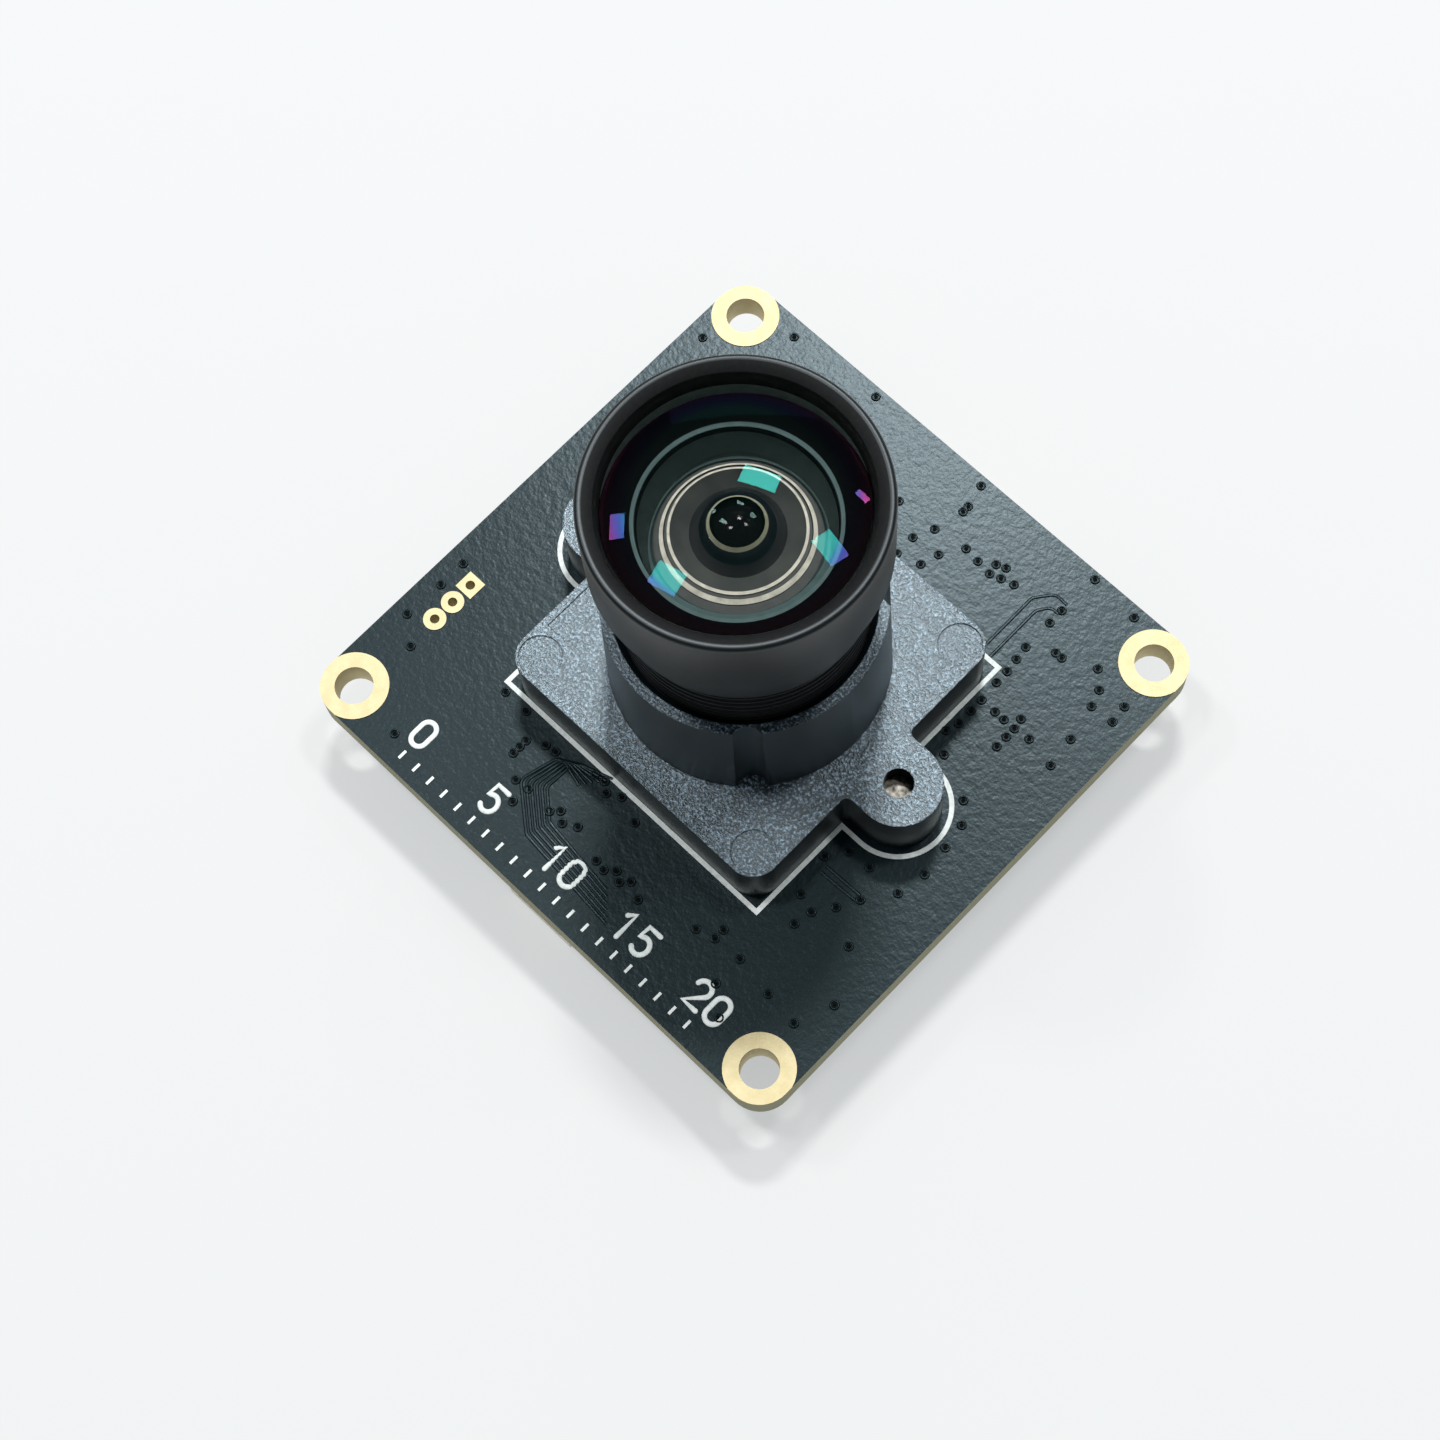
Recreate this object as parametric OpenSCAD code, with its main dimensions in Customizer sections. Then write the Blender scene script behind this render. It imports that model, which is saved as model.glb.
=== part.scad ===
// Board camera: a square circuit board with an image sensor, a moulded lens holder
// screwed on over it, and a screw-in lens that is turned to focus. The board stands on
// the two wire connectors of its underside, lens up. The origin is on that resting plane,
// under the middle of the board.

/* [Board] */
// Side of the square board
board_side = 32; // [32:1:38]
// Thickness of the board
board_thick = 1.6; // [1:0.2:2.4]
// Radius of the board's corners
board_corner = 1.75; // [0.75:0.25:2.5]
// Distance from a mounting hole's centre to the board's two near edges
hole_inset = 1.75; // [1.6:0.05:2.25]
// Finished diameter of a mounting hole
hole_d = 2; // [1.6:0.1:2.4]
// Diameter of the gilt ring round a mounting hole
ring_d = 3.6; // [3:0.1:4]
// Thickness of the metal plated on and through the board
plating = 0.05; // [0.03:0.01:0.08]
// Thickness of the printed ink
ink_thick = 0.02; // [0.01:0.01:0.04]
// Width of the printed line round the lens holder
ink_width = 0.25; // [0.15:0.05:0.4]

/* [Header pads] */
// Distance between neighbouring pads
pad_pitch = 1.27; // [1.27:0.01:1.6]
// Diameter of a round pad, and a little more than the side of the square one
pad_d = 1.2; // [0.9:0.05:1.2]
// Finished hole in a pad
pad_hole_d = 0.5; // [0.4:0.05:0.6]
// Number of pads
pad_count = 3; // [2:1:4]
// Distance from the row of pads to the board's edge
pad_inset = 2.13; // [1:0.01:2.5]
// Place of the row's middle along that edge, from the board's middle
pad_row_y = -7.66; // [-8:0.02:-5]

/* [Lens holder] */
// Side of the square foot
foot_side = 17.2; // [16:0.1:17.6]
// Height of the foot
foot_height = 3.5; // [3.2:0.1:4.5]
// Radius of the foot's corners
foot_corner = 1.4; // [0.8:0.1:1.6]
// Wall round the hollow over the image sensor
foot_wall = 1.3; // [1:0.1:1.6]
// Height of the hollow over the image sensor
hollow_height = 2.4; // [2.3:0.05:2.5]
// Thickness of the ledge between that hollow and the threaded bore
ledge_thick = 0.6; // [0.4:0.05:0.7]
// Side of the square light opening in the ledge
ledge_opening = 7.4; // [6.5:0.1:7.8]
// Distance between the two screws, across the foot
screw_pitch = 20; // [19.5:0.1:21]
// Radius of the ears that take the screws
ear_r = 2.2; // [1.8:0.05:2.3]
// Radius of the inside corner between an ear and the foot
ear_fillet = 0.35; // [0.2:0.05:0.6]
// Diameter of the hole in an ear
ear_hole_d = 1.5; // [1.4:0.05:1.7]
// Outer diameter of the tube at its mouth
tube_d = 13.7; // [13.3:0.1:14.2]
// How much wider the tube is where it meets the foot
tube_flare = 0.4; // [0:0.1:0.6]
// Height of the tube above the foot
tube_height = 7.1; // [6:0.1:7.4]
// Width of the grooves down the outside of the tube
groove_w = 1.4; // [1:0.1:1.6]
// Depth of those grooves
groove_depth = 0.4; // [0.2:0.05:0.45]
// Diameter of the ejector marks on the foot
mark_d = 2.2; // [1.6:0.1:2.4]
// Depth of the moulded marks
mark_depth = 0.06; // [0.04:0.01:0.1]
// Gap between the printed line and the foot
ink_gap = 0.02; // [0.02:0.02:0.2]
// Gap between the printed line and an ear
ink_ear_gap = 0.35; // [0.25:0.05:0.5]

/* [Holder screws] */
// Diameter of the screw's shank
screw_d = 1.44; // [1.3:0.02:1.46]
// Reach of the shank into the ear
screw_reach = 2.5; // [2:0.1:3]
// Diameter of the pan head
head_d = 3.2; // [2.8:0.1:3.6]
// Height of the pan head
head_height = 1.2; // [1:0.1:1.5]
// Clearance hole in the board
screw_hole_d = 2; // [1.8:0.1:2.2]

/* [Lens] */
// Outer diameter of the lens thread
thread_d = 12; // [11.9:0.02:12]
// Pitch of the lens thread, which is the travel of one turn
thread_pitch = 0.5; // [0.5:0.05:0.6]
// Depth of the thread
thread_depth = 0.28; // [0.2:0.02:0.32]
// Radial clearance between the lens and the holder's bore
focus_gap = 0.05; // [0.03:0.01:0.08]
// Height of the front rim above the board
lens_top = 21.9; // [21.5:0.1:24]
// Whole length of the lens
lens_length = 17.9; // [17.5:0.1:18]
// Length of the head in front of the thread
head_length = 7.6; // [7.2:0.1:8]
// Diameter of the head
lens_head_d = 14; // [13.8:0.1:15]
// Diameter of the head's lower edge
lip_d = 12.7; // [12.4:0.1:13]
// Height over which the head widens from its lower edge
taper_length = 3; // [2:0.1:3.5]
// Radius of the rounded outer edge of the rim
rim_round = 0.5; // [0.2:0.05:0.6]
// Diameter of the front glass
front_glass_d = 11.9; // [11.4:0.1:11.9]
// Depth of the front glass's edge below the rim
glass_depth = 1; // [0.8:0.05:1.2]
// Thickness of the front glass at its edge
front_edge = 2.3; // [2:0.1:2.5]
// Rise of the front glass's outer face
front_rise = 0.75; // [0.5:0.05:0.8]
// Depth of the hollow in the front glass's inner face
front_hollow = 2.1; // [1.6:0.05:2.2]
// Diameter of that hollow
front_hollow_d = 9; // [8.6:0.1:9]
// Diameter of the second lens element and its spacer
second_d = 9.1; // [8.9:0.1:9.2]
// Diameter of the rear elements, their spacers and the stop
cell_d = 6.8; // [6.4:0.1:6.9]
// Radial clearance of the glass and the spacers in the barrel
cell_gap = 0.03; // [0.02:0.01:0.05]
// Diameter of the aperture in the stop
stop_hole_d = 1.8; // [1:0.1:2.4]

/* [Image sensor] */
// Side of the sensor's ceramic package
sensor_side = 8; // [7:0.1:9]
// Height of the package
sensor_height = 0.9; // [0.8:0.05:1]
// Side of the silicon chip
die_side = 5.6; // [4:0.1:6]
// Thickness of the silicon chip
die_thick = 0.25; // [0.2:0.05:0.3]
// Thickness of the package's cover glass
cover_thick = 0.4; // [0.3:0.05:0.5]
// Side of the infrared filter
filter_side = 9; // [8.4:0.1:10]
// Thickness of the infrared filter
filter_thick = 0.3; // [0.2:0.05:0.4]

/* [Wire connectors] */
// Height of both connectors, which is how far the board stands up
conn_height = 3.4; // [3:0.1:4]
// Depth of a connector's housing, from mouth to back
conn_depth = 4.2; // [3.8:0.1:4.6]
// Distance between neighbouring contacts
conn_pitch = 1.25; // [1.25:0.05:1.5]
// Contacts of the wide connector
wide_ways = 5; // [3:1:6]
// Contacts of the narrow connector
narrow_ways = 2; // [2:1:4]
// Wall of a connector's housing
conn_wall = 0.6; // [0.5:0.05:0.7]
// Width and thickness of a contact
contact_w = 0.4; // [0.3:0.05:0.5]
// Distance from a connector's mouth to the board's edge
conn_inset = 0.3; // [0.1:0.1:0.6]

/* [Chips] */
// Side of the image processor
processor_side = 7; // [6:0.1:8]
// Height of the image processor
processor_height = 0.85; // [0.7:0.05:1]
// Solder joints along one side of the processor
processor_joints_side = 12; // [8:1:14]
// Length of the flash memory's body
flash_length = 4.9; // [4.5:0.1:5.2]
// Width of the flash memory's body
flash_width = 3.9; // [3.6:0.1:4.1]
// Height of the flash memory
flash_height = 1.6; // [1.4:0.05:1.8]
// Length of a voltage regulator's body
regulator_length = 2.9; // [2.7:0.1:3.1]
// Width of a voltage regulator's body
regulator_width = 1.6; // [1.4:0.1:1.8]
// Height of a voltage regulator
regulator_height = 1.1; // [0.9:0.05:1.3]
// Side of the power inductor
inductor_side = 3; // [2.5:0.1:3.3]
// Height of the power inductor
inductor_height = 1.5; // [1:0.1:2]
// Length of the crystal's case
crystal_length = 3.2; // [2.5:0.1:3.5]
// Width of the crystal's case
crystal_width = 2.5; // [2:0.1:2.7]
// Height of the crystal
crystal_height = 0.8; // [0.6:0.05:1]

/* [Chip capacitors and resistors] */
// Length of a chip capacitor
cap_length = 1.6; // [1:0.1:1.8]
// Width and height of a chip capacitor
cap_width = 0.8; // [0.5:0.05:0.9]
// Length of a chip resistor
res_length = 1; // [0.8:0.1:1.2]
// Width of a chip resistor
res_width = 0.5; // [0.4:0.05:0.6]
// Height of a chip resistor
res_height = 0.35; // [0.25:0.05:0.5]

/* [Hidden] */
$fn = 72;

slack = 0.01;                        // makes a cutter stand past the face that it cuts
board_bottom = conn_height;
board_top = board_bottom + board_thick;
hole_place = board_side / 2 - hole_inset;
foot_top = board_top + foot_height;
tube_top = foot_top + tube_height;
ledge_top = board_top + hollow_height + ledge_thick;
bore_r = thread_d / 2 + focus_gap;
mouth_chamfer = 0.3;
mark_inset = 1.3;                    // from a mark's centre to the foot's two near edges
tag_length = 3.2;                    // the shallow moulded recess beside the tube
tag_width = 1.3;
tag_inset = 0.4;
tag_y = -4.3;

// The lens, from its front rim down
rim_z = board_top + lens_top;
lip_z = rim_z - head_length;
rear_z = rim_z - lens_length;
glass_edge_z = rim_z - glass_depth;
front_seat_z = glass_edge_z - front_edge;
spacer_height = 0.5;                 // front spacer, between the first two elements
second_edge = 1.2;                   // second element at its edge
second_seat_z = front_seat_z - spacer_height - second_edge;
middle_height = 3.2;                 // middle spacer
third_edge = 1.6;
stop_thick = 0.2;
rear_gap = 3.2;                      // rear spacer
rear_edge = 2;
third_z = second_seat_z - middle_height - third_edge;
stop_z = third_z - stop_thick;
rear_spacer_z = stop_z - rear_gap;
rear_lens_z = rear_spacer_z - rear_edge;
seat_step = 0.6;                     // how far the rear shoulder reaches inwards
exit_step = 0.3;                     // how much the barrel's rear opening widens again

// The wide connector faces +Y, the narrow one -Y
conn_cheek = 1.2 * conn_pitch;       // from an outer contact to the housing's side
conn_y = board_side / 2 - conn_inset - conn_depth;
tab_w = 0.38 * conn_depth;
tab_height = 0.53 * conn_height;
tab_thick = conn_wall / 2;
foot_reach = 0.24 * conn_depth;      // from the housing's back to a contact's bend
toe_reach = 0.14 * conn_depth;       // from that bend to the end of the contact's foot
latch_w = 0.55 * conn_pitch;

joint_pitch = processor_side * 0.86 / (processor_joints_side - 1);
joint_w = joint_pitch * 0.45;        // a solder joint at the processor's side
joint_reach = joint_pitch * 0.55;
flash_pitch = flash_length * 0.26;
regulator_pitch = regulator_length * 0.33;
lead_w = flash_pitch * 0.31;
lead_thick = lead_w / 2;
lead_reach = flash_width * 0.26;
end_share = 0.25;                    // metal ends, as a share of a chip part's length
inductor_end = [inductor_side * end_share, inductor_side * 0.8, inductor_height * 0.2];

// Underside layout: centre and turn of each part, as shares of the board's side
spread = board_side / 32;
processor_at = [-1, 3.4];
flash_at = [2.6, -5.4];
crystal_at = [6.4, 4.2];
regulators_at = [[-5.6, -3.9, 0], [-5.6, -8.5, 0]];
inductor_at = [8.8, -6.4];
caps_at = [[-7, 5.6, 90], [-7, 3, 90], [-8.4, 8.6, 0], [8.8, 8.4, 90], [11.2, -4.6, 90],
  [11.2, -7.4, 90], [-9.4, -4.6, 90], [-9.4, -8, 90], [-2.2, -1.8, 0], [0.8, 8.4, 0]];
res_at = [[-4.2, 8.4, 0], [-2.4, 8.4, 0], [5.4, 1.4, 0], [7.4, 1.4, 0], [-1.6, -4.4, 90],
  [-1.6, -6.2, 90], [-1.6, -8, 90], [6.4, -9.4, 0], [12.8, 4.6, 90], [-12.4, 4.4, 90]];

// ---------------------------------------------------------------- shared shapes

module rounded_square(side, r) {
  square([side - 2 * r, side], center = true);
  square([side, side - 2 * r], center = true);
  for (x = [-1, 1], y = [-1, 1])
    translate([x, y] * (side / 2 - r)) circle(r);
}

module block(size, at) {
  translate([at[0] - size[0] / 2, at[1] - size[1] / 2, at[2]]) cube(size);
}

// A block that hangs from the board's underside
module under(size, at = [0, 0]) {
  block(size, [at[0], at[1], board_bottom - size[2]]);
}

// Moves and turns a part to its place in the underside's layout
module place(at) {
  translate([at[0] * spread, at[1] * spread, 0])
    rotate(len(at) > 2 ? at[2] : 0) children();
}

module at_holes() {
  for (x = [-1, 1], y = [-1, 1]) translate([x * hole_place, y * hole_place, 0]) children();
}

module at_screws() {
  for (x = [-1, 1]) translate([x * screw_pitch / 2, 0, 0]) children();
}

module at_pads() {
  for (i = [0:pad_count - 1])
    translate([pad_inset - board_side / 2, pad_row_y + (i - (pad_count - 1) / 2) * pad_pitch, 0])
      children();
}

module up_through(r, z0, z1) {
  translate([0, 0, z0 - slack]) cylinder(r = r, h = z1 - z0 + 2 * slack);
}

// ---------------------------------------------------------------- board

module pcb() {
  color("#222c2e") difference() {
    translate([0, 0, board_bottom]) linear_extrude(board_thick)
      rounded_square(board_side, board_corner);
    at_holes() up_through(hole_d / 2 + plating, board_bottom, board_top);
    at_screws() up_through(screw_hole_d / 2, board_bottom, board_top);
    at_pads() up_through(pad_hole_d / 2 + plating, board_bottom, board_top);
  }
}

// Metal plated through a hole, with a land of the given outline on each face
module plated_hole(hole_r) {
  difference() {
    union() {
      up_through(hole_r + plating, board_bottom, board_top);
      for (z = [board_bottom - plating, board_top])
        translate([0, 0, z]) linear_extrude(plating) children();
    }
    up_through(hole_r, board_bottom - plating, board_top + plating);
  }
}

module mounting_rings() {
  color("#e9cf8b") for (x = [-1, 1], y = [-1, 1])
    translate([x * hole_place, y * hole_place, 0])
      plated_hole(hole_d / 2) intersection() {
        circle(d = ring_d);
        translate([-x * hole_place, -y * hole_place]) rounded_square(board_side, board_corner);
      }
}

module header_pads() {
  last = pad_count - 1;
  color("#e9cf8b") for (i = [0:last])
    translate([pad_inset - board_side / 2, pad_row_y + (i - last / 2) * pad_pitch, 0])
      plated_hole(pad_hole_d / 2) {
        if (i < last) circle(d = pad_d);
        else square(pad_d * 0.9, center = true);
      }
}

// Plan of the line round the foot and the ears, grown by a margin
module ink_plan(grow) {
  square(foot_side + 2 * (ink_gap + grow), center = true);
  square([screw_pitch, 2 * (ear_r + ink_ear_gap + grow)], center = true);
  at_screws() circle(ear_r + ink_ear_gap + grow);
}

module outline_ink() {
  color("#eef2f0") translate([0, 0, board_top]) linear_extrude(ink_thick) difference() {
    ink_plan(ink_width);
    ink_plan(0);
  }
}

// ---------------------------------------------------------------- lens holder

// Inside corner between an ear's straight flank and the foot's side
module ear_corner() {
  difference() {
    square(ear_fillet);
    translate([ear_fillet, ear_fillet]) circle(ear_fillet);
  }
}

module foot_plan() {
  rounded_square(foot_side, foot_corner);
  square([screw_pitch, 2 * ear_r], center = true);
  at_screws() circle(ear_r);
  for (x = [0, 1], y = [0, 1])
    mirror([x, 0]) mirror([0, y]) translate([foot_side / 2, ear_r]) ear_corner();
}

module tube_groove(turn) {
  groove_r = (groove_w * groove_w / 4 + groove_depth * groove_depth) / (2 * groove_depth);
  rotate(turn) translate([tube_d / 2 - groove_depth + groove_r, 0, foot_top])
    cylinder(r = groove_r, h = tube_height + slack);
}

module lens_holder() {
  inner = foot_side - 2 * foot_wall;
  mark_place = foot_side / 2 - mark_inset;
  color("#3c4853") difference() {
    union() {
      translate([0, 0, board_top]) linear_extrude(foot_height) foot_plan();
      translate([0, 0, foot_top])
        cylinder(d1 = tube_d + tube_flare, d2 = tube_d, h = tube_height);
    }
    translate([0, 0, board_top - slack]) linear_extrude(hollow_height + slack)
      rounded_square(inner, foot_corner / 2);
    block([ledge_opening, ledge_opening, ledge_thick + 2 * slack],
      [0, 0, board_top + hollow_height - slack]);
    translate([0, 0, ledge_top]) cylinder(r = bore_r, h = tube_top - ledge_top + slack);
    translate([0, 0, tube_top - mouth_chamfer])
      cylinder(r1 = bore_r, r2 = bore_r + mouth_chamfer, h = mouth_chamfer + slack);
    at_screws() up_through(ear_hole_d / 2, board_top, foot_top);
    for (turn = [45:90:315]) tube_groove(turn);
    for (place = [[-1, -1], [1, -1], [1, 1], [-1, 1]])
      translate([place[0] * mark_place, place[1] * mark_place, foot_top - mark_depth])
        cylinder(d = mark_d, h = mark_depth + slack);
    block([tag_width, tag_length, mark_depth + slack],
      [tag_inset + tag_width / 2 - foot_side / 2, tag_y, foot_top - mark_depth]);
  }
}

module holder_screws() {
  socket_w = 0.3;
  socket_l = head_d * 0.6;
  color("#b9bcc0") at_screws() difference() {
    union() {
      translate([0, 0, board_bottom]) cylinder(d = screw_d, h = board_thick + screw_reach);
      translate([0, 0, board_bottom - head_height / 2])
        cylinder(d = head_d, h = head_height / 2);
      translate([0, 0, board_bottom - head_height])
        cylinder(d1 = head_d * 0.7, d2 = head_d, h = head_height / 2);
    }
    for (turn = [0, 90]) rotate(turn)
      block([socket_l, socket_w, head_height / 2 + slack],
        [0, 0, board_bottom - head_height - slack]);
  }
}

module ir_filter() {
  color("#7fb7b0", 0.6)
    block([filter_side, filter_side, filter_thick],
      [0, 0, board_top + hollow_height - filter_thick]);
}

// ---------------------------------------------------------------- image sensor

module sensor_package() {
  bowl = sensor_side * 0.85;
  color("#4a4338") difference() {
    block([sensor_side, sensor_side, sensor_height], [0, 0, board_top]);
    block([bowl, bowl, sensor_height], [0, 0, board_top + sensor_height / 2]);
  }
}

module sensor_die() {
  color("#5b6f86") block([die_side, die_side, die_thick], [0, 0, board_top + sensor_height / 2]);
}

module sensor_glass() {
  side = sensor_side * 0.95;
  color("#cfe6e4", 0.35) block([side, side, cover_thick], [0, 0, board_top + sensor_height]);
}

// ---------------------------------------------------------------- lens

// Profile of the threaded length: crest, flank, root and flank of each turn
function thread_profile(z0, turns) = [for (i = [0:turns - 1], p = [
    [thread_d / 2, 0.04], [thread_d / 2, 0.26],
    [thread_d / 2 - thread_depth, 0.58], [thread_d / 2 - thread_depth, 0.72]])
  [p[0], z0 + (i + p[1]) * thread_pitch]];

module lens_barrel() {
  nose = 0.5;                        // plain lead-in at the rear end
  turns = floor((lens_length - head_length - 2 * nose) / thread_pitch);
  root_r = thread_d / 2 - thread_depth;
  head_r = lens_head_d / 2;
  glass_r = front_glass_d / 2 + cell_gap;
  second_r = second_d / 2 + cell_gap;
  cell_r = cell_d / 2 + cell_gap;
  hood_r = front_glass_d / 2 + 0.15; // the mouth widens from here to the rim
  color("#26282a") rotate_extrude($fn = 128) {
    polygon(concat(
      [[cell_r + exit_step, rear_z], [root_r - 0.2, rear_z], [root_r, rear_z + 0.2]],
      [[root_r, rear_z + nose]],
      thread_profile(rear_z + nose, turns),
      [[root_r, rear_z + nose + turns * thread_pitch], [root_r, lip_z - 0.1]],
      [[lip_d / 2 - 0.1, lip_z - 0.1], [lip_d / 2, lip_z], [lip_d / 2, lip_z + 0.3]],
      [[head_r, lip_z + taper_length], [head_r, rim_z - rim_round]],
      [[head_r - rim_round, rim_z - rim_round], [head_r - rim_round, rim_z]],
      [[hood_r + 0.2, rim_z - 0.08], [hood_r + 0.06, rim_z - 0.3], [hood_r, rim_z - 0.6]],
      [[glass_r, glass_edge_z + 0.1]],
      [[glass_r, front_seat_z], [second_r, front_seat_z]],
      [[second_r, second_seat_z], [cell_r, second_seat_z]],
      [[cell_r, rear_lens_z], [cell_r - seat_step, rear_lens_z]]
    ));
    intersection() {
      translate([head_r - rim_round, rim_z - rim_round]) circle(rim_round);
      translate([head_r - rim_round, rim_z - rim_round]) square(rim_round);
    }
  }
}

// Radius of the sphere whose cap has the given half width and height
function cap_radius(half, rise) = (half * half + rise * rise) / (2 * rise);

// A ball cap that stands on z, or hangs from it where the rise is negative
module cap(half, rise, z) {
  r = cap_radius(half, abs(rise));
  side = rise > 0 ? 1 : -1;
  intersection() {
    translate([0, 0, z + rise - side * r]) sphere(r, $fn = 96);
    translate([0, 0, rise > 0 ? z : z + rise]) cylinder(r = half, h = abs(rise));
  }
}

module front_lens() {
  color("#8fb8b4", 0.4) difference() {
    union() {
      translate([0, 0, front_seat_z]) cylinder(d = front_glass_d, h = front_edge);
      cap(front_glass_d / 2, front_rise, glass_edge_z);
    }
    cap(front_hollow_d / 2, front_hollow, front_seat_z);
  }
}

module spacer(outer_d, top_r, bottom_r, z, height) {
  color("#17181a") difference() {
    translate([0, 0, z]) cylinder(d = outer_d, h = height);
    translate([0, 0, z - slack])
      cylinder(r1 = bottom_r, r2 = top_r, h = height + 2 * slack);
  }
}

module front_spacer() {
  spacer(second_d, front_hollow_d / 2 - 0.25, front_hollow_d / 2 - 0.25,
    front_seat_z - spacer_height, spacer_height);
}

module second_lens() {
  rise = 1.1;
  color("#b9cfc2", 0.4) difference() {
    union() {
      translate([0, 0, second_seat_z]) cylinder(d = second_d, h = second_edge);
      cap(second_d / 2 - 0.8, rise, second_seat_z + second_edge);
    }
    cap(cell_d / 2 - 0.7, 0.9, second_seat_z);
  }
}

module middle_spacer() {
  spacer(cell_d, cell_d / 2 - 0.6, cell_d / 2 - 0.8, third_z + third_edge, middle_height);
}

module third_lens() {
  rise = 0.7;
  color("#b9cfc2", 0.4) union() {
    translate([0, 0, third_z]) cylinder(d = cell_d, h = third_edge);
    cap(cell_d * 0.34, rise, third_z + third_edge);
  }
}

module aperture_stop() {
  spacer(cell_d, stop_hole_d / 2, stop_hole_d / 2, stop_z, stop_thick);
}

module rear_spacer() {
  spacer(cell_d, cell_d / 2 - 1, cell_d / 2 - 0.5, rear_spacer_z, rear_gap);
}

module rear_lens() {
  rise = 0.6;
  color("#b9cfc2", 0.4) union() {
    translate([0, 0, rear_lens_z]) cylinder(d = cell_d, h = rear_edge);
    cap(cell_d / 2 - 0.8, rise, rear_lens_z + rear_edge);
    cap(cell_d / 2 - seat_step - 0.1, -rise, rear_lens_z);
  }
}

// ---------------------------------------------------------------- wire connectors

function conn_width(ways) = (ways - 1) * conn_pitch + 2 * conn_cheek;

// The straight stretch of a contact, through the back wall and into the mouth
module contact_stem(x) {
  translate([x - contact_w / 2, -foot_reach, conn_height / 2 - contact_w / 2])
    cube([contact_w, foot_reach + conn_depth * 0.76, contact_w]);
}

// A housing whose back is on y = 0 and whose mouth faces +Y
module connector_housing(ways) {
  width = conn_width(ways);
  mouth = width - 2 * conn_wall;
  color("#e6e0cf") difference() {
    block([width, conn_depth, conn_height], [0, conn_depth / 2, 0]);
    block([mouth, conn_depth, conn_height - 2 * conn_wall],
      [0, conn_depth / 2 + 2 * conn_wall, conn_wall]);
    for (x = [-1, 1])                // windows for the plug's latches, in the outer wall
      block([latch_w, conn_depth / 2, conn_wall + 2 * slack],
        [x * (mouth / 2 - latch_w), conn_depth * 0.6, -slack]);
    for (i = [0:ways - 1]) contact_stem((i - (ways - 1) / 2) * conn_pitch);
  }
}

module connector_contacts(ways) {
  middle = conn_height / 2;
  color("#c9b27a") for (i = [0:ways - 1]) let (x = (i - (ways - 1) / 2) * conn_pitch) {
    contact_stem(x);
    translate([x - contact_w / 2, -foot_reach, middle - contact_w / 2])
      cube([contact_w, contact_w, middle + contact_w / 2]);
    translate([x - contact_w / 2, -foot_reach - toe_reach, conn_height - contact_w / 2])
      cube([contact_w, toe_reach + contact_w, contact_w / 2]);
  }
}

// Metal tabs that hold a housing's two sides to the board
module connector_tabs(ways) {
  color("#c8cbcd") for (x = [0, 1]) mirror([x, 0, 0])
    translate([conn_width(ways) / 2, conn_depth * 0.35, 0]) {
      translate([0, 0, conn_height - tab_height]) cube([tab_thick, tab_w, tab_height]);
      translate([0, 0, conn_height - tab_thick]) cube([foot_reach, tab_w, tab_thick]);
    }
}

module wide_side() {
  translate([0, conn_y, 0]) children();
}

module narrow_side() {
  rotate(180) translate([0, conn_y, 0]) children();
}

module wide_connector() {
  wide_side() connector_housing(wide_ways);
}

module wide_contacts() {
  wide_side() connector_contacts(wide_ways);
}

module narrow_connector() {
  narrow_side() connector_housing(narrow_ways);
}

module narrow_contacts() {
  narrow_side() connector_contacts(narrow_ways);
}

module solder_tabs() {
  wide_side() connector_tabs(wide_ways);
  narrow_side() connector_tabs(narrow_ways);
}

// ---------------------------------------------------------------- chips

module image_processor() {
  color("#1c1d1f") place(processor_at) under([processor_side, processor_side, processor_height]);
}

module processor_joints() {
  last = processor_joints_side - 1;
  color("#c8cbcd") place(processor_at) for (turn = [0:90:270], i = [0:last])
    rotate(turn) under([joint_w, joint_reach, joint_reach],
      [(i - last / 2) * joint_pitch, (processor_side + joint_reach) / 2]);
}

module flash_memory() {
  color("#1c1d1f") place(flash_at) under([flash_length, flash_width, flash_height]);
}

// A bent lead that leaves a chip's side at half its height and ends in a foot on the board
module lead(x, side_y, body_height) {
  half = board_bottom - body_height / 2;
  translate([x - lead_w / 2, side_y, half]) cube([lead_w, lead_reach / 2, lead_thick]);
  translate([x - lead_w / 2, side_y + lead_reach / 2 - lead_thick, half])
    cube([lead_w, lead_thick, body_height / 2]);
  translate([x - lead_w / 2, side_y + lead_reach / 2 - lead_thick, board_bottom - lead_thick])
    cube([lead_w, lead_reach / 2 + lead_thick, lead_thick]);
}

module flash_leads() {
  color("#c8cbcd") place(flash_at) for (y = [0, 1], i = [-1.5:1.5])
    mirror([0, y, 0]) lead(i * flash_pitch, flash_width / 2, flash_height);
}

module crystal_base() {
  color("#a79f86") place(crystal_at) under([crystal_length, crystal_width, crystal_height / 2]);
}

module crystal_lid() {
  rim = crystal_width * 0.06;
  color("#c9c3ae") place(crystal_at)
    block([crystal_length - 2 * rim, crystal_width - 2 * rim, crystal_height / 2],
      [0, 0, board_bottom - crystal_height]);
}

module regulators() {
  color("#1c1d1f") for (at = regulators_at) place(at)
    under([regulator_length, regulator_width, regulator_height]);
}

module regulator_leads() {
  side = regulator_width / 2;
  color("#c8cbcd") for (at = regulators_at) place(at) {
    for (i = [-1:1]) lead(i * regulator_pitch, side, regulator_height);
    for (i = [-1, 1]) mirror([0, 1, 0]) lead(i * regulator_pitch, side, regulator_height);
  }
}

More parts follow.
